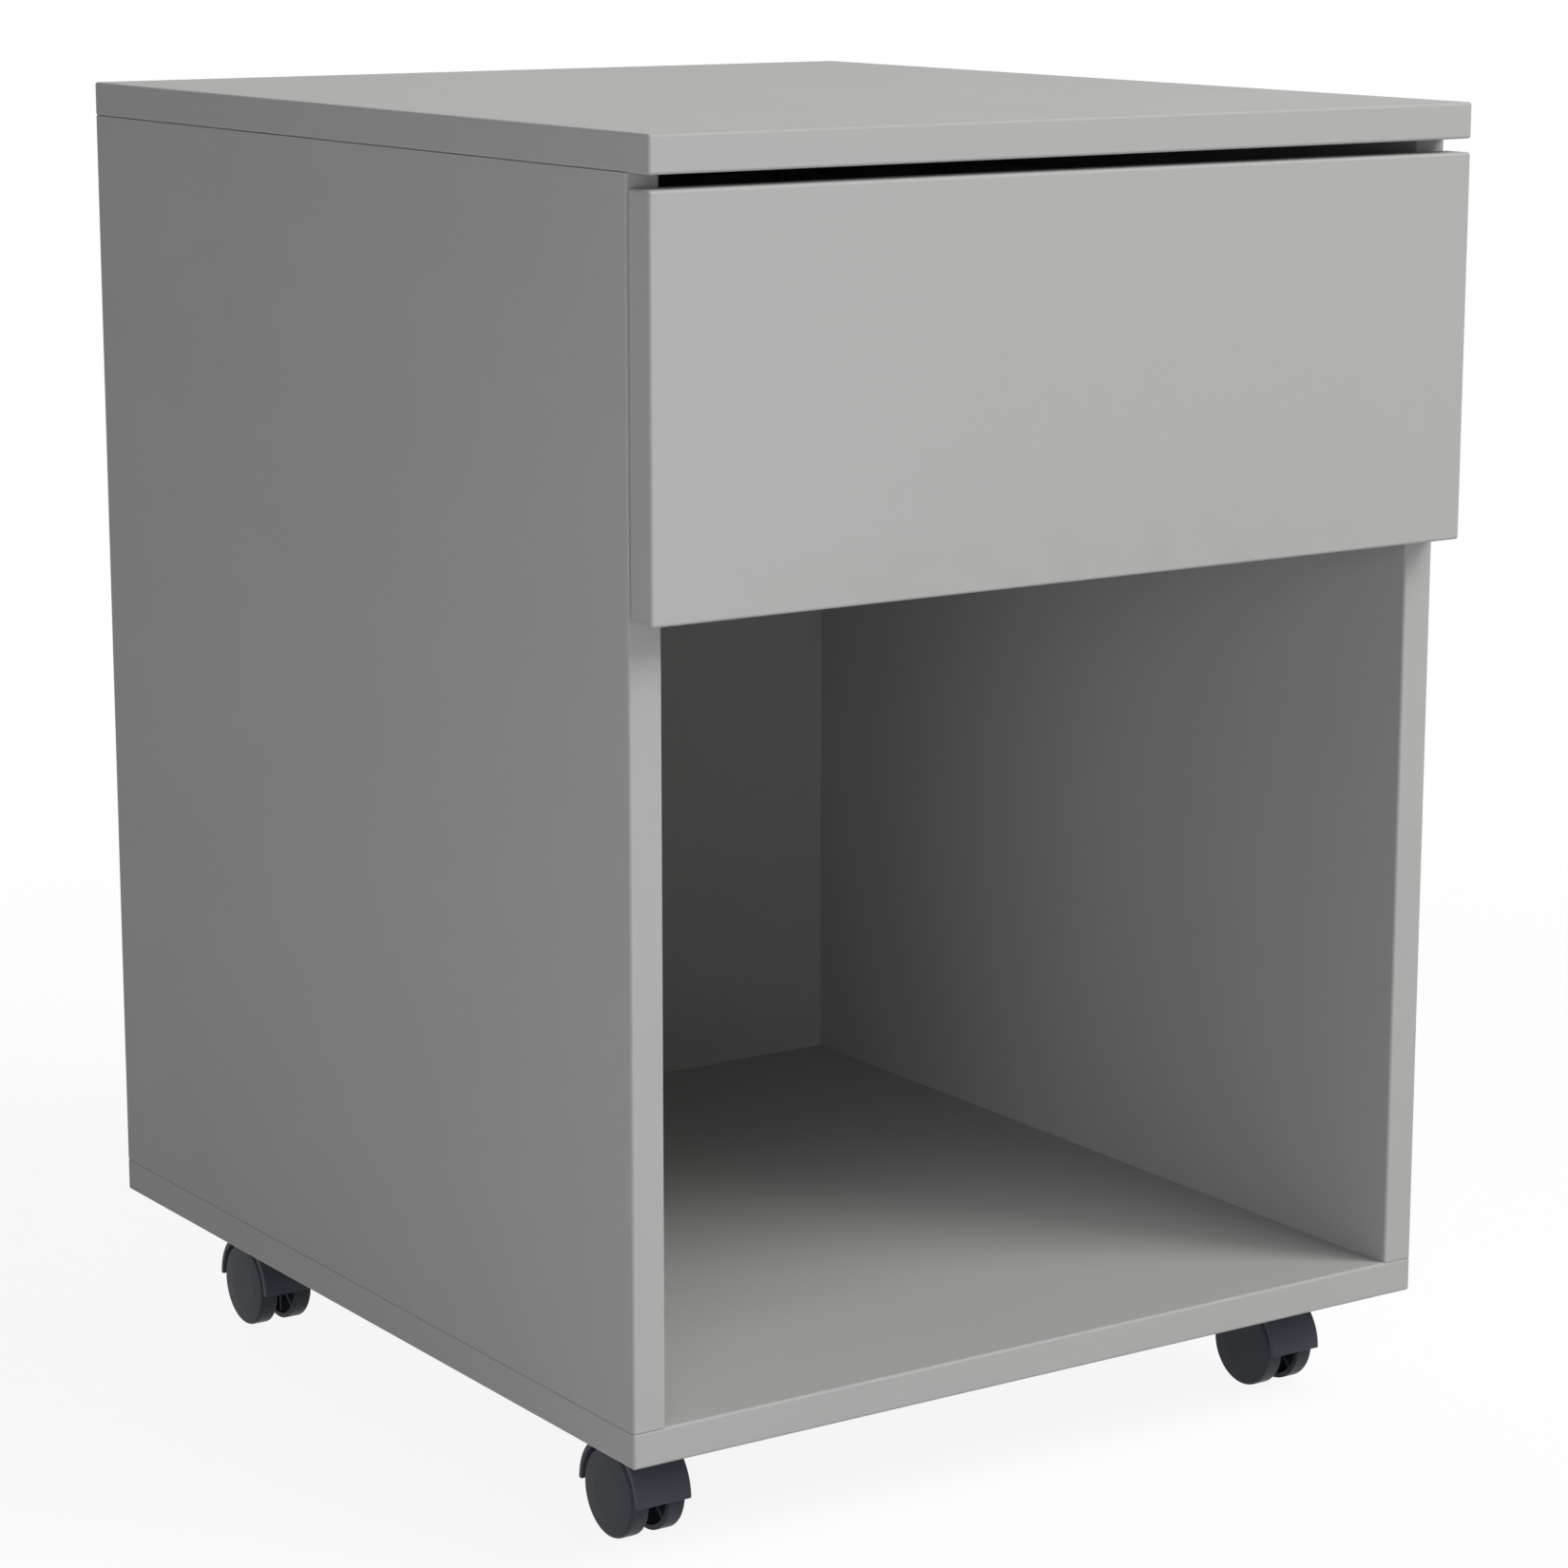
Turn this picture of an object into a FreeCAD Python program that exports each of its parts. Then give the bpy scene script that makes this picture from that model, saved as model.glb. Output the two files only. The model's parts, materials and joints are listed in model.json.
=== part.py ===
import FreeCAD
import Part
import math
import os
from FreeCAD import Vector

# Mobile pedestal: a carcass of melamine-faced board on four twin-wheel swivel casters, with one
# drawer on roller runners above an open compartment.
# Millimetres. The origin is on the floor under the middle of the carcass, +Z is up, the front faces -Y.

# Carcass boards
overall_width = 430.0
overall_depth = 500.0
carcass_height = 554.0
board = 16.0
band = 1.5
band_round = 1.3
band_joint = 0.05
back_board = 3.0
back_inset = 12.0
groove_depth = 6.0
seat = 0.1

# Drawer front and the gaps round it
front_height = 173.0
top_gap = 6.0
front_gap = 1.5
grip_lip = 20.0

# Drawer box
box_board = 12.0
box_round = 1.0
box_bottom = 3.0
bottom_rise = 16.0
box_floor_gap = 5.0
box_head_gap = 26.0
box_rear_gap = 19.0

# Roller runners
runner_space = 12.5
runner_steel = 1.2
runner_bend = 0.4
runner_rise = 5.0
runner_setback = 2.0
runner_rear_gap = 10.0
runner_foot = 10.0
runner_pass = 0.9
lip_gap = 0.5
lip_edge_gap = 1.8
roller_diameter = 18.0
roller_round = 0.6
roller_inset = 12.0
roller_gap = 0.3
roller_side_gap = 0.5
pin_diameter = 4.0
pin_head_diameter = 7.0
pin_head = 0.8
stop_setback = 70.0
stop_thickness = 3.0

# Cam fittings and dowels
cam_diameter = 15.0
cam_skin = 2.0
cam_setback = 34.0
cam_inset = 50.0
bolt_diameter = 6.0
bolt_neck_diameter = 4.0
bolt_head_length = 3.0
bolt_neck_length = 4.0
bolt_bury = 10.5
box_cam_low = 36.0
box_cam_drop = 24.0
dowel_diameter = 8.0
dowel_length = 30.0
dowel_bury = 11.0
dowel_pitch = 32.0
dowel_chamfer = 0.8

# Screws
recess_length = 3.2
recess_width = 0.9
recess_depth = 0.8
tip_length = 3.0
bottom_screw_diameter = 5.5
bottom_screw_length = 50.0
bottom_screw_head_diameter = 10.0
bottom_screw_head = 3.0
bottom_screw_inset = 40.0
box_screw_diameter = 4.0
box_screw_length = 40.0
box_screw_head_diameter = 7.5
box_screw_head = 2.2
box_screw_low = 38.0
box_screw_drop = 22.0
runner_screw_diameter = 3.5
runner_screw_length = 9.5
runner_screw_head_diameter = 6.5
runner_screw_head = 1.2
runner_screw_inset = 40.0
runner_screw_rear = 60.0
plate_screw_diameter = 3.5
plate_screw_length = 14.0
plate_screw_head_diameter = 7.0
plate_screw_head = 1.6

# Casters
caster_inset_x = 37.8
caster_inset_y = 69.05
trail = 9.0
wheel_diameter = 40.0
wheel_width = 9.1
wheel_round = 1.6
wheel_crown = 0.5
wheel_flat = 11.0
crown_round = 40.0
inner_round = 0.5
rim_wall = 2.4
disc_wall = 2.2
hub_wall = 2.4
hub_setback = 0.4
rib_wall = 1.2
rib_setback = 1.2
rib_count = 8
wheel_side_gap = 0.3
axle_diameter = 5.0
axle_fit = 0.05
axle_end_gap = 0.3
hood_gap = 1.8
hood_wall = 2.7
hood_round = 0.8
hood_side_inset = 0.4
web_wall = 5.0
axle_boss_wall = 2.2
king_pin_diameter = 6.0
king_pin_fit = 0.08
king_pin_rise = 4.0
king_pin_end_gap = 0.6
boss_wall = 1.8
collar_wall = 2.8
neck_height = 7.5
shoulder_height = 1.5
rivet_flare = 1.4
rivet_fit = 0.03
washer_thickness = 0.8
washer_gap = 0.1
clip_thickness = 0.8
clip_reach = 0.6
clip_gap = 0.1
clip_rise = 5.0
clip_mouth = 2.4
plate_size = 42.0
plate_thickness = 2.0
plate_corner = 4.0
plate_hole_inset = 5.0

# Carcass levels worked out from the sizes above
wheel_radius = wheel_diameter / 2
hood_inner = wheel_radius + hood_gap
hood_outer = hood_inner + hood_wall
axle_z = wheel_radius
plate_z = axle_z + hood_outer + neck_height
floor_z = plate_z + plate_thickness
bottom_z = floor_z + board
top_z = floor_z + carcass_height
roof_z = top_z - board
half_width = overall_width / 2
inner_x = half_width - board
front_y = -overall_depth / 2
rear_y = overall_depth / 2
face_y = front_y + board
carcass_y = face_y + front_gap
back_y = rear_y - back_inset - back_board
front_top_z = roof_z - top_gap
front_low_z = front_top_z - front_height
shelf_z = front_low_z + grip_lip
shelf_top_z = shelf_z + board
joint_rows = (carcass_y + cam_inset, back_y - cam_inset)
dowel_rows = (joint_rows[0] + dowel_pitch, joint_rows[1] - dowel_pitch)
screw_rows = (carcass_y + bottom_screw_inset, (carcass_y + back_y) / 2, back_y - bottom_screw_inset)
low_dowel_rows = (screw_rows[0] + dowel_pitch, screw_rows[2] - dowel_pitch)

# Drawer box and runner levels
box_x = inner_x - runner_space
box_inner_x = box_x - box_board
box_z = shelf_top_z + box_floor_gap
box_top_z = roof_z - box_head_gap
box_rear_y = back_y - box_rear_gap
groove_z = box_z + bottom_rise
groove_top_z = groove_z + box_bottom + 2 * seat
cam_levels = (box_z + box_cam_low, box_top_z - box_cam_drop)
box_screw_levels = (box_z + box_screw_low, box_top_z - box_screw_drop)
roller_radius = roller_diameter / 2
web_x = inner_x - runner_steel
rail_x = box_x + runner_steel
channel_x = rail_x + runner_pass
channel_z = shelf_top_z + runner_rise
channel_floor_z = channel_z + runner_steel
channel_roof_z = channel_floor_z + roller_diameter + 2 * roller_gap
channel_top_z = channel_roof_z + runner_steel
lip_z = channel_top_z + lip_gap
lip_top_z = lip_z + runner_steel
lip_x = web_x - lip_edge_gap
runner_z = (channel_floor_z + channel_roof_z) / 2
runner_y = carcass_y + runner_setback
runner_end_y = back_y - runner_rear_gap
front_roller_y = runner_y + roller_inset
front_roller_z = lip_z - roller_gap - roller_radius
rear_roller_y = box_rear_y - roller_inset
roller_stack = 2 * roller_side_gap + pin_head + runner_screw_head + runner_pass
roller_width = runner_space - 2 * runner_steel - roller_stack
cabinet_screw_rows = (runner_y + runner_screw_inset, (runner_y + runner_end_y) / 2,
                      runner_end_y - runner_screw_inset)
box_screw_rows = (face_y + runner_screw_inset, (face_y + box_rear_y) / 2, box_rear_y - runner_screw_rear)
front_stop_y = front_roller_y + stop_setback
rear_stop_y = rear_roller_y + roller_radius + roller_gap
drawer_travel = rear_roller_y - roller_radius - roller_gap - front_stop_y - stop_thickness

# Caster places
caster_x = half_width - caster_inset_x
caster_rows = {"front": carcass_y + caster_inset_y, "rear": rear_y - caster_inset_y}
boss_radius = king_pin_diameter / 2 + boss_wall
wheel_inner_x = boss_radius + wheel_side_gap
wheel_outer_x = wheel_inner_x + wheel_width
screw_offset = plate_size / 2 - plate_hole_inset

x_axis = Vector(1, 0, 0)
y_axis = Vector(0, 1, 0)
z_axis = Vector(0, 0, 1)


def block(low, high):
    size = Vector(*high) - Vector(*low)
    return Part.makeBox(size.x, size.y, size.z, Vector(*low))


def rod(diameter, start, end):
    axis = Vector(*end) - Vector(*start)
    return Part.makeCylinder(diameter / 2, axis.Length, Vector(*start), axis)


def fused(shapes):
    return shapes[0].fuse(shapes[1:]).removeSplitter()


def moved(shape, point):
    copy = shape.copy()
    copy.translate(Vector(*point))
    return copy


def facing(shape, point, direction):
    """The shape, drawn facing +Z at the origin, turned to a direction at a point."""
    copy = shape.copy()
    copy.Placement = FreeCAD.Placement(Vector(*point), FreeCAD.Rotation(z_axis, direction))
    return copy


def mirrored(shape):
    """The same piece on the other side of the middle."""
    return shape.mirror(Vector(0, 0, 0), x_axis)


def both(shapes):
    return list(shapes) + [mirrored(shape) for shape in shapes]


def outline(points):
    """A face in the XZ plane through points of x, z and, where the corner is rounded, its radius."""
    corners = [Vector(point[0], 0, point[1]) for point in points]
    count = len(corners)
    ends = []
    for i in range(count):
        corner = corners[i]
        radii = points[i][2:]
        if not radii:
            ends.append((corner, corner, None))
            continue
        before = corners[i - 1] - corner
        after = corners[(i + 1) % count] - corner
        before.normalize()
        after.normalize()
        half = before.getAngle(after) / 2
        middle = before + after
        middle.normalize()
        reach = radii[0] / math.tan(half)
        depth = radii[0] / math.sin(half) - radii[0]
        ends.append((corner + before * reach, corner + after * reach, corner + middle * depth))
    edges = []
    for i in range(count):
        arrive, leave, middle = ends[i]
        if middle is not None:
            edges.append(Part.Arc(arrive, middle, leave).toShape())
        edges.append(Part.makeLine(leave, ends[(i + 1) % count][0]))
    return Part.Face(Part.Wire(edges))


def drawn_out(face, start_y, end_y):
    return moved(face, (0, start_y, 0)).extrude(Vector(0, end_y - start_y, 0))


def banded(low, high, strips, open_axes):
    """A board and its edge strips. The first strips run right across, and open arrises are rounded."""
    core_low = list(low)
    core_high = list(high)
    bands = []
    for axis, side in strips:
        strip_low = [core + band_joint * (core > outer) for core, outer in zip(core_low, low)]
        strip_high = [core - band_joint * (core < outer) for core, outer in zip(core_high, high)]
        if side < 0:
            strip_high[axis] = core_low[axis] + band
            core_low[axis] = strip_high[axis]
        else:
            strip_low[axis] = core_high[axis] - band
            core_high[axis] = strip_low[axis]
        strip = block(strip_low, strip_high)
        arrises = [edge for edge in strip.Edges if open_faces(edge, low, high, open_axes) > 1]
        bands.append(strip.makeFillet(band_round, arrises))
    return block(core_low, core_high), bands


def open_faces(edge, low, high, open_axes):
    """How many of the board's open faces the edge lies on."""
    reach = edge.BoundBox
    lows = (reach.XMin, reach.YMin, reach.ZMin)
    highs = (reach.XMax, reach.YMax, reach.ZMax)
    count = 0
    for axis in open_axes:
        flat = highs[axis] - lows[axis] < band / 2
        at_low = abs(lows[axis] - low[axis]) < band / 2
        at_high = abs(highs[axis] - high[axis]) < band / 2
        count += flat and (at_low or at_high)
    return count


def cross_recess(depth):
    arm = block((-recess_length / 2, -recess_width / 2, -depth), (recess_length / 2, recess_width / 2, depth))
    return arm.fuse(facing(arm, (0, 0, 0), z_axis).rotate(Vector(0, 0, 0), z_axis, 90))


def shank(diameter, top, length):
    """A plain shank with a point, from the level top down to the length."""
    point_top = tip_length - length
    body = rod(diameter, (0, 0, point_top), (0, 0, top))
    point = Part.makeCone(diameter / 4, diameter / 2, tip_length, Vector(0, 0, -length))
    return body.fuse(point)


def pan_screw(diameter, length, head_diameter, head):
    """A flat-headed screw that seats at z = 0."""
    cap = rod(head_diameter, (0, 0, 0), (0, 0, head))
    cap = cap.makeFillet(head / 2, [edge for edge in cap.Edges if edge.BoundBox.ZMin > head / 2])
    whole = fused([shank(diameter, 0, length), cap])
    return whole.cut(moved(cross_recess(recess_depth), (0, 0, head)))


def sunk_screw(diameter, length, head_diameter, head):
    """A countersunk screw whose head lies flush at z = 0."""
    cone = Part.makeCone(diameter / 2, head_diameter / 2, head, Vector(0, 0, -head))
    whole = fused([shank(diameter, -head, length), cone])
    return whole.cut(cross_recess(recess_depth))


def screw_hole(diameter, length):
    return rod(diameter + 2 * seat, (0, 0, -length - seat), (0, 0, seat))


def sunk_hole(diameter, length, head_diameter, head):
    cone = Part.makeCone(diameter / 2 + seat, head_diameter / 2 + seat, head, Vector(0, 0, -head))
    return screw_hole(diameter, length).fuse(cone)


def dowel():
    """A dowel on the Z axis whose joint plane is z = 0 and whose short end points up."""
    peg = rod(dowel_diameter, (0, 0, dowel_bury - dowel_length), (0, 0, dowel_bury))
    return peg.makeChamfer(dowel_chamfer, [edge for edge in peg.Edges if edge.BoundBox.ZLength < seat])


def dowel_hole():
    return rod(dowel_diameter + 2 * seat, (0, 0, dowel_bury - dowel_length - seat), (0, 0, dowel_bury + seat))


def cam_lock(thickness):
    """A cam in a board of this thickness that faces +X, with the bolt coming down the Z axis."""
    start = cam_skin - thickness / 2
    body = rod(cam_diameter, (start, 0, -cam_setback), (thickness / 2, 0, -cam_setback))
    depth = -cam_setback - seat
    way = rod(bolt_diameter + 4 * seat, (0, 0, depth), (0, 0, cam_diameter - cam_setback))
    slot = facing(cross_recess(recess_depth), (thickness / 2, 0, -cam_setback), x_axis)
    return body.cut([way, slot])


def cam_bolt():
    neck_low = bolt_head_length - cam_setback
    neck_high = neck_low + bolt_neck_length
    head = rod(bolt_diameter, (0, 0, -cam_setback), (0, 0, neck_low))
    neck = rod(bolt_neck_diameter, (0, 0, neck_low), (0, 0, neck_high))
    stem = rod(bolt_diameter, (0, 0, neck_high), (0, 0, bolt_bury))
    return fused([head, neck, stem])


def cam_pocket(thickness):
    start = cam_skin - thickness / 2 - seat
    pocket = rod(cam_diameter + 2 * seat, (start, 0, -cam_setback), (thickness / 2 + seat, 0, -cam_setback))
    return pocket.fuse(bolt_hole())


def bolt_hole():
    return rod(bolt_diameter + 2 * seat, (0, 0, -cam_setback), (0, 0, bolt_bury + seat))


def joined_at(shape, point, into, face):
    """A fitting turned so that its bolt points into the other board and its cam to the face."""
    copy = shape.copy()
    turn = FreeCAD.Rotation(face, into.cross(face), into, "ZXY")
    copy.Placement = FreeCAD.Placement(Vector(*point), turn)
    return copy


# Joints of the right half of the carcass: the place, the way into the other board, the cam's face
mid_side_x = (inner_x + half_width) / 2
mid_shelf_z = shelf_z + board / 2
top_cams = [((mid_side_x, y, roof_z), z_axis, -x_axis) for y in joint_rows]
shelf_cams = [((inner_x, y, mid_shelf_z), x_axis, -z_axis) for y in joint_rows]
box_cams = [(((box_x + box_inner_x) / 2, face_y, z), -y_axis, -x_axis) for z in cam_levels]
top_dowels = [((mid_side_x, y, roof_z), z_axis) for y in dowel_rows]
shelf_dowels = [((inner_x, y, mid_shelf_z), x_axis) for y in dowel_rows]
low_dowels = [((mid_side_x, y, bottom_z), -z_axis) for y in low_dowel_rows]
low_screws = [((mid_side_x, y, floor_z), -z_axis) for y in screw_rows]
cabinet_screws = [((web_x, y, runner_z), -x_axis) for y in cabinet_screw_rows]
box_runner_screws = [((rail_x, y, runner_z), x_axis) for y in box_screw_rows]
box_back_screws = [((box_x, box_rear_y - box_board / 2, z), x_axis) for z in box_screw_levels]


def at_joints(shape, joints):
    return [joined_at(shape, *joint) for joint in joints]


def at_places(shape, places):
    return [facing(shape, *place) for place in places]


def plate_screw_places():
    offsets = [(x, y) for x in (-screw_offset, screw_offset) for y in (-screw_offset, screw_offset)]
    places = []
    for y in caster_rows.values():
        places += [((caster_x + offset[0], y + offset[1], plate_z), -z_axis) for offset in offsets]
    return places


def cabinet_screw_holes():
    return at_places(screw_hole(runner_screw_diameter, runner_screw_length), cabinet_screws)


def box_runner_screw_holes():
    return at_places(screw_hole(runner_screw_diameter, runner_screw_length), box_runner_screws)


def box_back_screw_holes():
    hole = sunk_hole(box_screw_diameter, box_screw_length, box_screw_head_diameter, box_screw_head)
    return at_places(hole, box_back_screws)


def low_screw_holes():
    hole = sunk_hole(bottom_screw_diameter, bottom_screw_length, bottom_screw_head_diameter,
                     bottom_screw_head)
    return at_places(hole, low_screws)


def back_groove():
    """The space of the back panel with its clearance, on all four boards."""
    x = inner_x + groove_depth
    return block((-x, back_y - seat, bottom_z - groove_depth),
                 (x, back_y + back_board + seat, roof_z + groove_depth))


def top_panel():
    core, bands = banded((-half_width, front_y, roof_z), (half_width, rear_y, top_z),
                         ((1, -1), (1, 1), (0, -1), (0, 1)), (0, 1, 2))
    holes = both(at_joints(bolt_hole(), top_cams) + at_places(dowel_hole(), top_dowels))
    return core.cut(holes + [back_groove()]), bands


def bottom_panel():
    core, bands = banded((-half_width, carcass_y, floor_z), (half_width, rear_y, bottom_z),
                         ((1, -1), (1, 1), (0, -1), (0, 1)), (0, 1, 2))
    plate_hole = screw_hole(plate_screw_diameter, plate_screw_length)
    holes = at_places(dowel_hole(), low_dowels) + low_screw_holes()
    holes += at_places(plate_hole, plate_screw_places())
    return core.cut(both(holes) + [back_groove()]), bands


def right_side_panel():
    core, bands = banded((inner_x, carcass_y, bottom_z), (half_width, rear_y, roof_z),
                         ((1, -1), (1, 1)), (0, 1))
    holes = at_joints(cam_pocket(board), top_cams) + at_joints(bolt_hole(), shelf_cams)
    holes += at_places(dowel_hole(), top_dowels + shelf_dowels + low_dowels)
    holes += low_screw_holes() + cabinet_screw_holes()
    return core.cut(holes + [back_groove()]), bands


def shelf():
    core, bands = banded((-inner_x, carcass_y, shelf_z), (inner_x, back_y - seat, shelf_top_z),
                         ((1, -1),), (1, 2))
    holes = both(at_joints(cam_pocket(board), shelf_cams) + at_places(dowel_hole(), shelf_dowels))
    return core.cut(holes), bands


def back_panel():
    reach = groove_depth - seat
    return block((-inner_x - reach, back_y, bottom_z - reach),
                 (inner_x + reach, back_y + back_board, roof_z + reach))


def box_bottom_space(clearance):
    reach = box_inner_x + groove_depth - seat + clearance
    start = face_y - groove_depth + seat - clearance
    low = groove_z + seat - clearance
    high = groove_top_z - seat + clearance
    return block((-reach, start, low), (reach, box_rear_y + clearance, high))


def drawer_front():
    core, bands = banded((-half_width, front_y, front_low_z), (half_width, face_y, front_top_z),
                         ((2, -1), (2, 1), (0, -1), (0, 1)), (0, 1, 2))
    holes = both(at_joints(bolt_hole(), box_cams))
    return core.cut(holes + [box_bottom_space(seat)]), bands


def right_box_side():
    side = block((box_inner_x, face_y, box_z), (box_x, box_rear_y, box_top_z))
    top_edges = [edge for edge in side.Edges if edge.BoundBox.ZMin > box_top_z - box_round
                 and edge.BoundBox.YLength > box_board]
    side = side.makeFillet(box_round, top_edges)
    holes = at_joints(cam_pocket(box_board), box_cams) + box_runner_screw_holes() + box_back_screw_holes()
    return side.cut(holes + [box_bottom_space(seat)])


def box_back():
    back = block((-box_inner_x, box_rear_y - box_board, groove_top_z - seat),
                 (box_inner_x, box_rear_y, box_top_z - box_round))
    return back.cut(both(box_back_screw_holes()))


def pin_hole(start_x, end_x, y, z):
    return rod(pin_diameter + 2 * axle_fit, (start_x, y, z), (end_x, y, z))


def right_cabinet_runner():
    """A folded channel with a stop at each end of the rear roller's way."""
    outer = runner_bend + runner_steel
    section = outline(((channel_x, channel_z), (inner_x, channel_z, outer), (inner_x, channel_top_z, outer),
                       (channel_x, channel_top_z), (channel_x, channel_roof_z),
                       (web_x, channel_roof_z, runner_bend), (web_x, channel_floor_z, runner_bend),
                       (channel_x, channel_floor_z)))
    channel = drawn_out(section, runner_y, runner_end_y)
    notch_end = front_roller_y + roller_radius + roller_gap + runner_steel
    notch = block((channel_x - seat, runner_y - seat, front_roller_z),
                  (web_x - runner_bend, notch_end, lip_z))
    stop_x = rail_x + runner_screw_head + runner_pass
    stops = [block((stop_x, y, channel_floor_z), (web_x, y + stop_thickness, channel_roof_z))
             for y in (front_stop_y, rear_stop_y)]
    hole = pin_hole(web_x - seat, inner_x + seat, front_roller_y, front_roller_z)
    return fused([channel] + stops).cut([notch, hole] + cabinet_screw_holes())


def right_drawer_runner():
    """A folded rail: a foot under the box side, a web on its face and a lip that runs on the front roller."""
    foot_z = box_z - runner_steel
    outer = runner_bend + runner_steel
    section = outline(((box_x - runner_foot, foot_z), (rail_x, foot_z, outer), (rail_x, lip_z, runner_bend),
                       (lip_x, lip_z), (lip_x, lip_top_z), (box_x, lip_top_z, outer), (box_x, box_z),
                       (box_x - runner_foot, box_z)))
    rail = drawn_out(section, face_y, box_rear_y)
    hole = pin_hole(box_x - seat, rail_x + seat, rear_roller_y, runner_z)
    return rail.cut([hole] + box_runner_screw_holes())


def roller(start_x, y, z):
    """A roller on its pin's axis, with rounded edges."""
    end_x = start_x + roller_width
    inner = pin_diameter / 2 + axle_fit
    section = outline(((start_x, inner), (end_x, inner), (end_x, roller_radius, roller_round),
                       (start_x, roller_radius, roller_round)))
    return moved(section, (0, y, z)).revolve(Vector(0, y, z), x_axis, 360)


def roller_pin(root_x, roller_x, y, z):
    """A pin riveted flush into the steel at root_x, with its head past the roller's far face."""
    way = math.copysign(1, roller_x - root_x)
    head_x = roller_x + way * roller_side_gap
    head = rod(pin_head_diameter, (head_x, y, z), (head_x + way * pin_head, y, z))
    return fused([rod(pin_diameter, (root_x, y, z), (head_x, y, z)), head])


cabinet_roller_x = web_x - roller_side_gap - roller_width
drawer_roller_x = rail_x + roller_side_gap


def wheel():
    """One wheel on the X axis: a closed disc outside, and a rim, a hub and ribs inside."""
    bore = axle_diameter / 2 + axle_fit
    hub = bore + hub_wall
    rim = wheel_radius - rim_wall
    disc_x = wheel_outer_x - disc_wall
    hub_x = wheel_inner_x + hub_setback
    section = outline(((hub_x, bore), (hub_x, hub), (disc_x, hub), (disc_x, rim),
                       (wheel_inner_x, rim), (wheel_inner_x, wheel_radius, inner_round),
                       (wheel_outer_x - wheel_crown, wheel_radius, wheel_round),
                       (wheel_outer_x, wheel_flat, crown_round), (wheel_outer_x, 0), (disc_x, 0),
                       (disc_x, bore)))
    body = section.revolve(Vector(0, 0, 0), x_axis, 360)
    rib = block((wheel_inner_x + rib_setback, -rib_wall / 2, hub - hub_wall / 2),
                (disc_x + disc_wall / 2, rib_wall / 2, rim + rim_wall / 2))
    ribs = []
    for i in range(rib_count):
        spoke = rib.copy()
        spoke.rotate(Vector(0, 0, 0), x_axis, i * 360 / rib_count)
        ribs.append(spoke)
    return fused([body] + ribs)


def axle():
    reach = wheel_outer_x - disc_wall - axle_end_gap
    return rod(axle_diameter, (-reach, 0, 0), (reach, 0, 0))


def hood():
    """A half-round cover over both wheels with the web, the axle boss and the king pin's boss inside."""
    side = wheel_outer_x - hood_side_inset
    section = outline(((-side, hood_inner), (side, hood_inner), (side, hood_outer, hood_round),
                       (-side, hood_outer, hood_round)))
    upright = section.rotate(Vector(0, 0, 0), x_axis, -90)
    shell = upright.revolve(Vector(0, 0, 0), x_axis, 180)
    web = rod(2 * hood_inner + hood_wall, (-web_wall / 2, 0, 0), (web_wall / 2, 0, 0))
    web = web.common(block((-side, -hood_outer, 0), (side, hood_outer, hood_outer)))
    boss_x = wheel_inner_x - wheel_side_gap
    axle_boss = rod(axle_diameter + 2 * axle_boss_wall, (-boss_x, 0, 0), (boss_x, 0, 0))
    boss_top = hood_outer + neck_height - shoulder_height - washer_thickness - washer_gap
    pin_boss = rod(2 * boss_radius, (0, trail, 0), (0, trail, boss_top))
    collar = rod(king_pin_diameter + 2 * collar_wall, (0, trail, hood_inner), (0, trail, boss_top))
    whole = fused([shell, web, axle_boss, pin_boss, collar])
    axle_hole = rod(axle_diameter + 2 * axle_fit, (-side, 0, 0), (side, 0, 0))
    pin_low = king_pin_rise - king_pin_end_gap
    pin_space = rod(king_pin_diameter + 2 * king_pin_fit, (0, trail, pin_low), (0, trail, boss_top + seat))
    clip_low = king_pin_rise + clip_rise
    clip_space = rod(king_pin_diameter + 2 * (clip_reach + clip_gap), (0, trail, clip_low - clip_gap),
                     (0, trail, clip_low + clip_thickness + clip_gap))
    return whole.cut([axle_hole, pin_space, clip_space])


def clip():
    """An open spring clip in the king pin's groove, which keeps the hood on the pin."""
    low = king_pin_rise + clip_rise
    high = low + clip_thickness
    ring = rod(king_pin_diameter + 2 * clip_reach, (0, trail, low), (0, trail, high))
    inner = rod(king_pin_diameter - 2 * clip_reach, (0, trail, low), (0, trail, high))
    mouth = block((-clip_mouth / 2, trail, low), (clip_mouth / 2, trail + king_pin_diameter, high))
    return ring.cut([inner, mouth])


def king_pin():
    """A pin riveted into the plate, drawn from the axle's level, with a shoulder under the plate."""
    plate_low = hood_outer + neck_height
    plate_high = plate_low + plate_thickness
    stem = rod(king_pin_diameter, (0, trail, king_pin_rise), (0, trail, plate_high))
    shoulder = rod(king_pin_diameter + 2 * collar_wall, (0, trail, plate_low - shoulder_height),
                   (0, trail, plate_low))
    flare = Part.makeCone(king_pin_diameter / 2, king_pin_diameter / 2 + rivet_flare, rivet_flare,
                          Vector(0, trail, plate_high - rivet_flare))
    low = king_pin_rise + clip_rise - clip_gap
    high = low + clip_thickness + 2 * clip_gap
    groove = rod(king_pin_diameter + seat, (0, trail, low), (0, trail, high))
    core = rod(king_pin_diameter - 2 * (clip_reach + clip_gap), (0, trail, low), (0, trail, high))
    return fused([stem, shoulder, flare]).cut(groove.cut(core))


def washer():
    high = hood_outer + neck_height - shoulder_height
    low = high - washer_thickness
    ring = rod(king_pin_diameter + 2 * collar_wall, (0, trail, low), (0, trail, high))
    return ring.cut(rod(king_pin_diameter + 2 * king_pin_fit, (0, trail, low), (0, trail, high)))


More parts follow.
